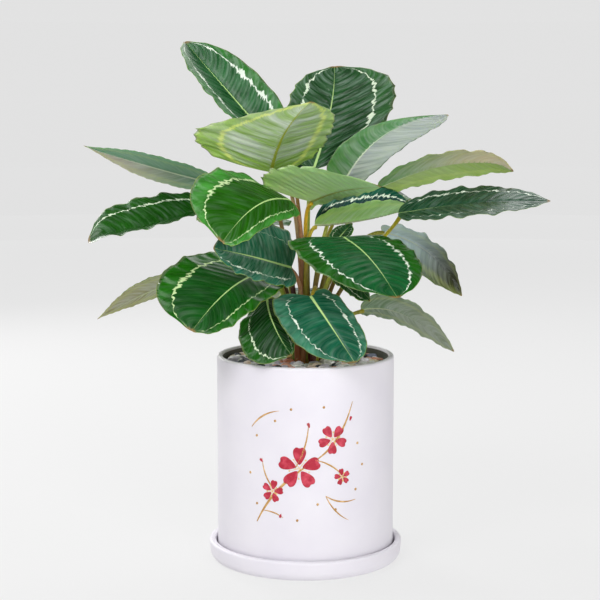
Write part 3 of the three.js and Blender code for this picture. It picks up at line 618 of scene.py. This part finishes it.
def turned_body(profile, roundings, closed_on_axis):
    """Turns a profile of (radius, height) corners round the Z axis. roundings gives the edge
    radius of a corner by its number. A profile that doesn't close on the axis is made a ring."""
    bm = bmesh.new()
    corners = [bm.verts.new((radius * MM, 0, height * MM)) for radius, height in profile]
    pairs = list(zip(corners, corners[1:]))
    if not closed_on_axis:
        pairs.append((corners[-1], corners[0]))
    edges = [bm.edges.new(pair) for pair in pairs]
    bmesh.ops.spin(bm, geom=corners + edges, cent=(0, 0, 0), axis=(0, 0, 1),
                   angle=math.tau, steps=TURN_STEPS, use_merge=True)
    bmesh.ops.remove_doubles(bm, verts=bm.verts, dist=1e-6)
    for number, rounding in roundings.items():
        radius, height = (value * MM for value in profile[number])
        ring = [
            edge for edge in bm.edges
            if all(abs(v.co.z - height) < SAME_PLACE_M
                   and abs(math.hypot(v.co.x, v.co.y) - radius) < SAME_PLACE_M
                   for v in edge.verts)
        ]
        bmesh.ops.bevel(bm, geom=ring, offset=rounding * MM, affect="EDGES", segments=6,
                        profile=0.5, material=-1)
    bmesh.ops.recalc_face_normals(bm, faces=bm.faces)
    return bm


def make_saucer(glaze):
    profile = [(0, 0), (SAUCER_FOOT, 0), SAUCER_SHOULDER, (SAUCER_RADIUS, SAUCER_TOP),
               (SAUCER_INNER, SAUCER_TOP), (SAUCER_INNER, SAUCER_FLOOR), (0, SAUCER_FLOOR)]
    bm = turned_body(profile, {1: 3, 2: 3, 3: 2.6, 4: 1.8, 5: 2.5}, closed_on_axis=True)
    finish_piece("saucer_glazed", to_mesh("saucer", bm), [glaze], ["saucer"])


def make_pot(glaze, stains_and_shade):
    profile = [(DRAIN_RADIUS, POT_BOTTOM), (POT_RADIUS, POT_BOTTOM), (POT_RADIUS, POT_TOP),
               (POT_INNER, POT_TOP), (POT_INNER, POT_FLOOR), (DRAIN_RADIUS, POT_FLOOR)]
    bm = turned_body(profile, {1: 2.5, 2: 2.7, 3: 2.2, 4: 3}, closed_on_axis=False)
    # The inner wall below the lip takes the second material, its dark partly painted shade.
    inner, lip = (POT_INNER + 1) * MM, (POT_TOP - 2) * MM
    for face in bm.faces:
        middle = face.calc_center_median()
        inside = math.hypot(middle.x, middle.y) < inner and POT_BOTTOM * MM < middle.z < lip
        face.material_index = 1 if inside else 0
    finish_piece("pot_glazed", to_mesh("pot", bm), [glaze, stains_and_shade], ["pot"])


# ---- gravel, soil and stem base -----------------------------------------------------------

PEBBLE_PITCH = 7.8
PEBBLE_SIZES = (3.7, 6)
PEBBLE_SHAKE = 1.6  # how far at most a pebble lies off its place on the grid
PEBBLE_LAYERS = (GRAVEL_TOP - 6.5, GRAVEL_TOP - 1.4)
GRIT_LAP = 2  # how far the grit reaches in past the stem base's side
CLUMP_RADIUS = 17.5  # the pebbles lap over the stem base's edge as far as this
DOME_HEIGHT = 9  # how far the stem base's middle stands above its rim
COLLAR_HEIGHT = 5.5  # of the old sheath round each stalk's foot
COLLAR_RADIUS = 2.7
PEBBLE_COLOURS = [  # sRGB, and how many of each
    ("fffdff", 11), ("f6f0f8", 6), ("cfc8dc", 4), ("fbe2d4", 4), ("e8a890", 3), ("c07458", 2),
    ("6f7688", 3), ("39414e", 4), ("1c1f25", 3), ("f2e6cc", 2),
]


def make_grit_bed(soil):
    """The dark grit under the pebbles and in the gaps between them."""
    inner, outer = CROWN_RADIUS - GRIT_LAP, POT_INNER - CLEARANCE
    profile = [(inner, GRAVEL_BOTTOM), (outer, GRAVEL_BOTTOM), (outer, GRAVEL_BED),
               (inner, GRAVEL_BED)]
    bm = turned_body(profile, {}, closed_on_axis=False)
    finish_piece("grit_bed", to_mesh("grit_bed", bm), [soil], [])


def pebble_places():
    """Places and sizes of the pebbles: two layers, each on a loosely shaken hexagonal grid."""
    row_step = PEBBLE_PITCH * math.sqrt(3) / 2
    rows = int(POT_INNER / row_step) + 1
    for layer, height in enumerate(PEBBLE_LAYERS):
        for row in range(-rows, rows + 1):
            for column in range(-rows - 2, rows + 3):
                x = (column + 0.5 * (row % 2) + 0.33 * layer) * PEBBLE_PITCH
                y = (row + 0.5 * layer) * row_step
                x += random.uniform(-PEBBLE_SHAKE, PEBBLE_SHAKE)
                y += random.uniform(-PEBBLE_SHAKE, PEBBLE_SHAKE)
                size = random.uniform(*PEBBLE_SIZES)
                reach = math.hypot(x, y)
                if CLUMP_RADIUS < reach < POT_INNER - 1.2 * size:
                    yield Vector((x, y, height + random.uniform(-1.2, 1.8))), size


def make_gravel(pebble):
    """Tumbled pebbles: each is a rounded cube, stretched, turned and set in its own colour."""
    random.seed(5)
    stone = bmesh.new()
    bmesh.ops.create_cube(stone, size=2)
    bmesh.ops.subdivide_edges(stone, edges=stone.edges, cuts=2, use_grid_fill=True)
    for vertex in stone.verts:  # mostly a ball, with some of the cube's flats left
        vertex.co = vertex.co.normalized() * 0.7 + vertex.co * 0.22
    stone_mesh = to_mesh("stone", stone)
    stone_points = read_points(stone_mesh)

    hexes, weights = zip(*PEBBLE_COLOURS)
    bm = bmesh.new()
    points, colours = [], []
    for place, size in pebble_places():
        bm.from_mesh(stone_mesh)
        shape = np.array([random.uniform(0.85, 1.3), random.uniform(0.75, 1),
                          random.uniform(0.5, 0.8)]) * size
        turn = Matrix.Rotation(random.uniform(0, math.tau), 3, "Z")
        tilt = Matrix.Rotation(random.uniform(-0.5, 0.5), 3, "X")
        points.append(stone_points * shape @ np.array(turn @ tilt).T + np.array(place))
        tone = random.uniform(0.9, 1.12)
        own = linear(random.choices(hexes, weights)[0])
        colours += [[c * tone for c in own[:3]] + [1]] * len(stone_points)
    mesh = to_mesh("gravel", bm)
    write_points(mesh, np.concatenate(points) * MM)
    write_attribute(mesh, "pebble_colour", colours)
    finish_piece("gravel_pebbles", mesh, [pebble], ["gravel_layer"])


def make_stem_base(fibrous):
    """The clump that the stalks grow from: a low dome with a collar round each stalk's foot."""
    bm = bmesh.new()
    bmesh.ops.create_uvsphere(bm, u_segments=96, v_segments=64, radius=1)
    mesh = to_mesh("stem_base", bm)
    ball = read_points(mesh)
    reach = np.hypot(ball[:, 0], ball[:, 1])
    flat = ball[:, :2] * (CROWN_RADIUS - 0.4)
    bulge = np.clip(1 - reach ** 2, 0, 1)
    rim = CROWN_TOP - DOME_HEIGHT
    # Above is the dome, below is a flat foot, and the ball's equator is an edge under the rim.
    height = np.where(ball[:, 2] > 0, rim + DOME_HEIGHT * bulge, GRAVEL_BOTTOM + 1)
    height = np.where(np.abs(ball[:, 2]) < 0.02, rim - 2, height)
    for leaf in LEAVES:
        off = np.hypot(flat[:, 0] - leaf["root"][0], flat[:, 1] - leaf["root"][1])
        collar = COLLAR_HEIGHT * np.exp(-(off / COLLAR_RADIUS) ** 4)
        height = np.where(ball[:, 2] > 0.02, height + collar, height)
    write_points(mesh, np.column_stack([flat, height]) * MM)
    finish_piece("stem_base", mesh, [fibrous], ["rhizome_crown"])


# ---- blades -------------------------------------------------------------------------------

BLADE_AROUND = 64
BLADE_ALONG = 140
HALF_THICKNESS = 0.3
BAND_PLACE = 0.67  # the painted band's place, as a share of the way from the midrib to the margin
BAND_RIPPLE = 0.015  # how far it swings out at each side vein, as such a share
GUTTER_DEPTH = 0.9  # of the groove along the midrib on the upper face
GUTTER_WIDTH = 0.07  # as a share of the way from the midrib to the margin
MARGIN_WAVES = 5  # along each margin
CRIMP = 0.25  # depth of the small waves right at the margin
POINT_LENGTH = 2.5  # of the small point at the tip
SIDES_APART = 0.35  # how much of a wave the right margin is ahead of the left
RIB_HEIGHT = 1.3  # how far the midrib stands out below at the base
RIB_RADIUS = 1.5


def unit(vectors):
    return vectors / np.maximum(np.linalg.norm(vectors, axis=-1, keepdims=True), 1e-9)


def step(low, high, values):
    """Rises smoothly from 0 at low to 1 at high."""
    t = np.clip((values - low) / (high - low), 0, 1)
    return t * t * (3 - 2 * t)


def leaf_lines(row):
    """A leaf's row with its defaults, and its midrib as chord and bow."""
    leaf = {**LEAF_DEFAULTS, "silver_and_sheen_left": row.get("silver_and_sheen", LEAF_DEFAULTS["silver_and_sheen"]), **row}
    base, middle, tip, left, right = (
        np.array(leaf[key], float) for key in ("base", "middle", "tip", "left", "right"))
    leaf.update(base=base, chord=tip - base, bow=middle - (base + tip) / 2,
                across=left - right, to_left=left - middle, to_right=right - middle)
    return leaf


def midrib_direction(leaf, s):
    return unit(leaf["chord"] + leaf["bow"] * 4 * (1 - 2 * s)[:, None])


def blade_normal(leaf, s):
    return unit(np.cross(midrib_direction(leaf, s), leaf["across"]))


def width_share(leaf, s, v):
    """Half-width along the midrib as a share of the widest: a full oval with a short point. A
    cornered blade runs straight from the widest place of its right side to the tip."""
    centred = s ** (math.log(0.5) / math.log(leaf["widest"]))
    off_widest = np.abs(2 * centred - 1)
    oval = np.maximum(0, 1 - off_widest ** np.where(centred > 0.5, 3, 2.4)) ** 0.52
    corner = np.where((centred > 0.5) & (v < 0), leaf["corner"], 0)
    outer = np.maximum(0, (s - 0.5) / 0.5)
    point = 1 - 0.4 * step(0.95, 0.998, s)
    return (oval + (1 - off_widest - oval) * corner) * (1 - leaf["taper"] * outer ** 2) * point


def vein_number(leaf, s, reach):
    """How many side veins lie between the base and this place; they sweep towards the tip."""
    return leaf["veins"] * (s - 0.13 * reach - 0.12 * reach ** 2) + 2


def blade_place(leaf, s, v):
    """Points of the blade's middle surface, for s along the midrib and v from right to left."""
    direction = midrib_direction(leaf, s)
    is_left = (v > 0)[:, None]
    side = np.where(is_left, leaf["to_left"], leaf["to_right"])
    share, reach = width_share(leaf, s, v), np.abs(v)
    relief = np.minimum(1, 12 * s * (1 - s))
    half_normal = unit(np.where(is_left, np.cross(direction, side), np.cross(side, direction)))
    turn = math.tau * (MARGIN_WAVES * s + np.where(v > 0, 0, SIDES_APART))
    waves = 0.75 * np.sin(turn) + 0.4 * np.sin(1.7 * turn + 2)
    wave = leaf["ruffle"] * reach ** 3 * share * waves
    crimp = CRIMP * reach ** 5 * relief * np.sin(3.1 * turn + 1)
    quilted = np.sin(math.pi * np.clip(reach * 1.02, 0, 1)) ** 0.6 * relief
    furrow = leaf["quilt"] * quilted * np.cos(math.tau * vein_number(leaf, s, reach))
    gutter = GUTTER_DEPTH * np.exp(-(reach / GUTTER_WIDTH) ** 2) * relief
    setback = 1.6 * leaf["lobe"] * reach ** 1.5 * (1 - s) ** 2 * share
    setback -= POINT_LENGTH * step(0.96, 1, s)
    depth, count = leaf["scallop"]
    hollow = np.abs(np.sin(math.pi * count * s + 0.8 * np.sin(5 * s) + is_left[:, 0]))
    hollow = hollow if depth > 0 else 1 - hollow
    scallops = abs(depth) * reach ** 6 * relief * hollow
    reach = reach * share - scallops / np.linalg.norm(side, axis=1)
    hook = leaf["hook"] * step(0.8, 1.1, s) ** 2 * 4
    lift = wave + crimp + furrow - gutter - hook
    return (
        leaf["base"]
        + leaf["chord"] * s[:, None]
        + leaf["bow"] * (4 * s * (1 - s))[:, None]
        + side * reach[:, None]
        + half_normal * lift[:, None]
        - direction * setback[:, None]
    )


def make_blade(row, number, upper, underside):
    """A blade is a ball pressed flat and laid along the midrib: its poles are the base and the
    tip, its equator is the margin, and its two halves are the upper face and the underside. One
    half is the mirror of the other, triangle for triangle, so that they never cross."""
    leaf = leaf_lines(row)
    bm = bmesh.new()
    bmesh.ops.create_uvsphere(bm, u_segments=BLADE_AROUND, v_segments=BLADE_ALONG, radius=1,
                              matrix=Matrix.Rotation(-math.pi / 2, 4, "X"))
    lower = [face for face in bm.faces if face.calc_center_median().z < 0]
    bmesh.ops.delete(bm, geom=lower, context="FACES")
    bmesh.ops.triangulate(bm, faces=bm.faces, quad_method="FIXED")
    bmesh.ops.mirror(bm, geom=[*bm.verts, *bm.edges, *bm.faces], merge_dist=1e-4, axis="Z")
    bmesh.ops.recalc_face_normals(bm, faces=bm.faces)
    for face in bm.faces:
        face.material_index = 0 if face.calc_center_median().z > 0 else 1
    name = "blade_" + leaf["name"]
    mesh = to_mesh(name, bm)
    ball = read_points(mesh)
    s = np.clip((1 + ball[:, 1]) / 2, 0, 1)
    ring = np.hypot(ball[:, 0], ball[:, 2])
    at_pole = ring < 1e-6
    ring = np.where(at_pole, 1, ring)
    v = np.where(at_pole, 0, 1 - 2 * np.arccos(np.clip(ball[:, 0] / ring, -1, 1)) / math.pi)
    up = np.where(at_pole, 0, ball[:, 2] / ring)

    is_left = v > 0
    reach, share = np.abs(v), width_share(leaf, s, v)
    half_width = share * np.where(is_left, np.linalg.norm(leaf["to_left"]),
                                  np.linalg.norm(leaf["to_right"]))
    rib = RIB_HEIGHT * (1 - s) ** 0.6 * np.exp(-(reach * half_width / RIB_RADIUS) ** 2)
    fullness = np.sign(up) * np.abs(up) ** 0.4 * np.minimum(1, 8 * share)
    skin = HALF_THICKNESS * fullness - np.where(up < -0.01, rib, 0)
    points = blade_place(leaf, s, v) + blade_normal(leaf, s) * skin[:, None]
    write_points(mesh, points * MM)

    veins = vein_number(leaf, s, reach) + np.where(is_left, 0, 0.5)
    band_width = leaf["ring"] * (0.35 + 0.65 * np.sin(math.pi * np.clip(s * 1.02, 0, 1)) ** 0.8)
    band_width *= step(2, 16, half_width) * (1 - step(0.97, 1, s))
    band_width *= np.where(is_left, *leaf["ring_sides"])
    ripple = BAND_RIPPLE * np.cos(math.tau * veins)
    off_band = (reach - BAND_PLACE - ripple) * half_width
    # Pale streaks on the underside, partly painted sheen; some blades have more on their left half.
    silver_and_sheen = np.where(is_left, leaf["silver_and_sheen_left"], leaf["silver_and_sheen"])
    marks = {
        "lines": (reach * half_width + leaf["rib_fade"], (1 - reach) * half_width, off_band),
        "grain": (veins, s, number * 7.3),
        "upper_marks": (band_width, leaf["warmth"], leaf["bloom_and_sheen"]),
        "under_marks": (leaf["glow"], silver_and_sheen, leaf["rib_tone"]),
    }
    for mark, values in marks.items():
        write_attribute(mesh, mark, np.column_stack(np.broadcast_arrays(*values)))

    near, far, inner, outer = (np.array(linear(tone)) for tone in leaf["under"] + leaf["face"])
    below = near + (far - near) * step(0.05, 0.85, s)[:, None]
    if leaf["under_left"]:
        below = np.where(is_left[:, None], linear(leaf["under_left"]), below)
    above = inner + (outer - inner) * step(-4, 6, off_band)[:, None]
    write_attribute(mesh, "leaf_green", np.where((up >= 0)[:, None], above, below))
    finish_piece(name + "_leaf", mesh, [upper, underside], [name])


# ---- stalks -------------------------------------------------------------------------------

STALK_AROUND = 14
STALK_STEPS = 56
FOOT_RADIUS = 2.5
SLIMMING = 0.75  # how much of its radius it loses on its way up
SHEATH = 0.55  # how much the old sheath adds round its foot
SWELLING = 0.35  # how much it swells under the blade, there to STALK_RADIUS
FOOT_DEPTH = 3  # how far its foot is sunk in the stem base's collar
SIDE_HINT = (0.31, -0.95, 0.02)  # a direction that no stalk runs in


def stalk_route(leaf):
    """The four points of the stalk's curve: up from the crown, then over to lie in line with the
    midrib, just under the blade's base."""
    start = np.array([*leaf["root"], STALK_FOOT])
    zero = np.zeros(1)
    direction = midrib_direction(leaf, zero)[0]
    normal = blade_normal(leaf, zero + 0.03)[0]
    seat = leaf["base"] + direction * STALK_REACH
    leaving = start + np.array([0, 0, leaf["rise"]])
    arriving = np.array(leaf["via"], float) if leaf["via"] else seat - direction * leaf["run"]
    steepness = unit(seat - arriving) @ normal
    depth = STALK_LIFT + STALK_RADIUS * math.sqrt(1 - steepness ** 2)
    return start, leaving, arriving, seat - normal * depth


def make_stalk(row, smooth):
    """A round stalk: sheathed at its foot, slim in the middle and a little swollen under the
    blade."""
    leaf = leaf_lines(row)
    bm = bmesh.new()
    bmesh.ops.create_cone(bm, cap_ends=True, segments=STALK_AROUND, radius1=1, radius2=1, depth=1,
                          matrix=Matrix.Translation((0, 0, 0.5)))
    upright = [edge for edge in bm.edges if abs(edge.verts[0].co.z - edge.verts[1].co.z) > 0.5]
    bmesh.ops.subdivide_edges(bm, edges=upright, cuts=STALK_STEPS - 1, use_grid_fill=True)
    name = "petiole_" + leaf["name"]
    mesh = to_mesh(name, bm)
    rod = read_points(mesh)
    t = rod[:, 2][:, None]
    a, b, c, d = stalk_route(leaf)
    a = a - (0, 0, FOOT_DEPTH)
    centre = a * (1 - t) ** 3 + 3 * b * t * (1 - t) ** 2 + 3 * c * t ** 2 * (1 - t) + d * t ** 3
    tangent = unit(3 * (b - a) * (1 - t) ** 2 + 6 * (c - b) * t * (1 - t) + 3 * (d - c) * t ** 2)
    sideways = unit(np.cross(tangent, SIDE_HINT))
    forward = np.cross(tangent, sideways)
    t = t[:, 0]
    radius = (FOOT_RADIUS - SLIMMING * t + SHEATH * (1 - step(0.16, 0.3, t))
              + SWELLING * step(0.86, 0.94, t))
    points = centre + (sideways * rod[:, 0:1] + forward * rod[:, 1:2]) * radius[:, None]
    write_points(mesh, points * MM)
    foot, head = (np.array(linear(tone)) for tone in leaf["stalk"])
    colour = foot + (head - foot) * step(0.1, 0.75, t)[:, None]
    write_attribute(mesh, "stalk_colour", colour)
    finish_piece(name + "_stalk", mesh, [smooth], [name])


# ---- painted sprig ------------------------------------------------------------------------
# Places on the pot's front are (along, up): millimetres to the right of the front's middle along
# the wall, and height above the saucer's underside.

PAINT_THICKNESS = 0.12  # above the glaze, and as much below it


def bend_onto_pot(bm):
    """Lays flat shapes, drawn in X and Y in millimetres, on the pot's wall and gives them
    thickness."""
    flat = bmesh.ops.extrude_face_region(bm, geom=bm.faces[:])
    lifted = {v for v in flat["geom"] if isinstance(v, bmesh.types.BMVert)}
    for vertex in bm.verts:
        along, up = vertex.co.x, vertex.co.y
        radius = POT_RADIUS + (PAINT_THICKNESS if vertex in lifted else -PAINT_THICKNESS)
        angle = along / POT_RADIUS
        vertex.co = Vector((radius * math.sin(angle), -radius * math.cos(angle), up)) * MM
    bmesh.ops.recalc_face_normals(bm, faces=bm.faces)
    return bm


def add_stroke(bm, start, through, end, width, steps=22):
    """A brush stroke along a curve, fine at both ends."""
    drawn = bmesh.ops.create_grid(bm, x_segments=steps, y_segments=1, size=0.5)
    p0, p1, p2 = Vector(start), Vector(through), Vector(end)
    for vertex in drawn["verts"]:
        t = vertex.co.x + 0.5
        centre = p0 * (1 - t) ** 2 + p1 * 2 * t * (1 - t) + p2 * t ** 2
        heading = ((p1 - p0) * (1 - t) + (p2 - p1) * t).normalized()
        half = width * vertex.co.y * (0.25 + 0.75 * math.sin(math.pi * min(t * 0.93 + 0.07, 1)))
        vertex.co = (centre.x - heading.y * half, centre.y + heading.x * half, 0)


def add_petal(bm, centre, angle, length, width):
    """A rounded petal that starts at the centre and points along angle."""
    drawn = bmesh.ops.create_grid(bm, x_segments=9, y_segments=9, size=1)
    for vertex in drawn["verts"]:
        x, y = vertex.co.x, vertex.co.y
        round_x, round_y = x * math.sqrt(1 - y * y / 2), y * math.sqrt(1 - x * x / 2)
        out = (round_x + 1) / 2
        side = round_y * (0.35 + 0.65 * out) * width / 2
        notch = 0.1 * math.exp(-(round_y / 0.25) ** 2) if round_x > 0.5 else 0
        ahead = (out - notch) * length
        vertex.co = (centre[0] + ahead * math.cos(angle) - side * math.sin(angle),
                     centre[1] + ahead * math.sin(angle) + side * math.cos(angle), 0)


def add_dot(bm, centre, radius):
    drawn = bmesh.ops.create_circle(bm, cap_ends=True, segments=12, radius=radius)
    bmesh.ops.translate(bm, verts=drawn["verts"], vec=(*centre, 0))


# Blossoms: centre, size and the first petal's angle. Buds: foot, angle and length. Dots: centres.
# Twigs and sprays: start, a point that the curve is drawn towards, end and width.
BLOSSOMS = [((-6, 112), 30, 0.3), ((27, 140), 21, 0.9), ((-33, 88), 16, 0.1), ((37, 102), 12, 0.5)]
BUDS = [((4, 152), 1.9, 5.5), ((45, 157), 1.2, 5), ((-43, 116), 2.4, 5), ((-24, 66), 4.4, 4.5)]
DOTS = [(-50, 142), (-30, 158), (-14, 170), (18, 172), (54, 134), (52, 88), (12, 76), (30, 70),
        (-50, 74), (-8, 60), (60, 112), (-58, 104)]
TWIGS = [((-50, 56), (-30, 96), (10, 120), 2.6), ((10, 120), (36, 136), (48, 176), 2.2),
         ((-28, 88), (-42, 98), (-44, 120), 1.6), ((10, 120), (28, 116), (40, 100), 1.6),
         ((-10, 112), (2, 132), (3, 156), 1.6), ((-42, 68), (-30, 68), (-22, 62), 1.4)]
SPRAYS = [((20, 84), (34, 74), (52, 78), 1.6), ((-56, 150), (-44, 166), (-26, 168), 1.6),
          ((20, 84), (28, 66), (44, 58), 1.4)]


def away(centre, distance, angle):
    """The place at a distance from the centre, in the direction of angle."""
    return centre[0] + distance * math.cos(angle), centre[1] + distance * math.sin(angle)


def make_sprig(crimson, gold, pale_gold):
    """A painted spring sprig: crimson five-petalled blossoms on fine gold twigs."""
    petals, lines, threads = bmesh.new(), bmesh.new(), bmesh.new()
    for centre, size, start in BLOSSOMS:
        for petal in range(5):
            angle = start + petal * math.tau / 5
            petal_foot = away(centre, 0.12 * size, angle)
            add_petal(petals, petal_foot, angle, size * 0.6, size * 0.58)
            anther = away(centre, 0.34 * size, angle + 0.6)
            add_stroke(threads, centre, centre, anther, 0.7, steps=4)
            add_dot(threads, anther, 0.9)
    for centre, angle, size in BUDS:
        add_petal(petals, centre, angle, size, size * 0.7)
    for start, through, end, width in TWIGS + SPRAYS:
        add_stroke(lines, start, through, end, width)
    for centre in DOTS:
        add_dot(lines, centre, 1.3)
    for name, bm, paint in (("sprig_blossoms", petals, crimson), ("sprig_twigs", lines, gold),
                            ("sprig_stamens", threads, pale_gold)):
        finish_piece(name, to_mesh(name, bend_onto_pot(bm)), [paint], [])


# ---- making it all ------------------------------------------------------------------------

glaze = stoneware_white_glaze()
soil = peat_soil_damp()
upper = leaf_upper_waxy()
underside = leaf_underside_satin()
smooth_stalk = leaf_stalk_smooth()

make_saucer(glaze)
make_pot(glaze, stoneware_stains_and_shade())
make_grit_bed(soil)
make_gravel(river_pebble_tumbled())
make_stem_base(stem_base_fibrous())
for number, row in enumerate(LEAVES):
    make_blade(row, number, upper, underside)
    make_stalk(row, smooth_stalk)
make_sprig(
    overglaze_paint("overglaze_crimson", "d0465a", "ad1230"),
    overglaze_paint("overglaze_gold", "e0b878", "b98a45"),
    overglaze_paint("overglaze_pale_gold", "f3dfa8", "e2bd6a"),
)
soil_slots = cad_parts["potting_soil"].data.materials
soil_slots.clear()
soil_slots.append(soil)

# ---- floor and light ----------------------------------------------------------------------

COVE_RADIUS = 5200
COVE_HEIGHT = 1800
COVE_BEND = 1500  # radius of the sweep from floor to wall

# A white acrylic sweep lit from behind: it glows evenly, and shadows on it stay faint.
acrylic, _, _ = new_material(
    "backdrop_acrylic", Base_Color=linear("5c5c5c"), Roughness=0.9,
    Emission_Color=(1, 1, 1, 1), Emission_Strength=0.7)
cove_bm = turned_body([(0, 0), (COVE_RADIUS, 0), (COVE_RADIUS, COVE_HEIGHT)], {1: COVE_BEND},
                      closed_on_axis=True)
cove = bpy.data.objects.new("cove", to_mesh("cove", cove_bm))
cove.data.materials.append(acrylic)
scene.collection.objects.link(cove)

world = bpy.data.worlds.new("studio")
world.use_nodes = True
set_inputs(world.node_tree, world.node_tree.nodes["Background"],
           {"Color": linear("f2f2f2"), "Strength": 0.22})
scene.world = world


def add_softbox(name, place_m, aim_m, size_m, watts, spread=180):
    """A square area light that faces a point. Its spread in degrees is that of a grid on it."""
    lamp = bpy.data.lights.new(name, "AREA")
    lamp.energy = watts
    lamp.size = size_m
    lamp.spread = math.radians(spread)
    softbox = bpy.data.objects.new(name, lamp)
    softbox.location = place_m
    softbox.rotation_euler = (Vector(aim_m) - Vector(place_m)).to_track_quat("-Z", "Y").to_euler()
    softbox.visible_camera = False
    scene.collection.objects.link(softbox)


add_softbox("key", (-0.8, -1.4, 1.8), (0, 0, 0.3), 0.8, 23)
add_softbox("fill", (0.95, -2, 0.75), (0, 0, 0.28), 0.8, 4.2, spread=80)
add_softbox("low_back", (-0.9, 1.5, 0.85), (0, 0, 0.21), 0.6, 11)
add_softbox("back", (0.4, 1.4, 1.7), (0, 0, 0.35), 1.2, 14)
add_softbox("gloss", (-1.2, 0.35, 1.5), (0, 0, 0.35), 0.7, 10)
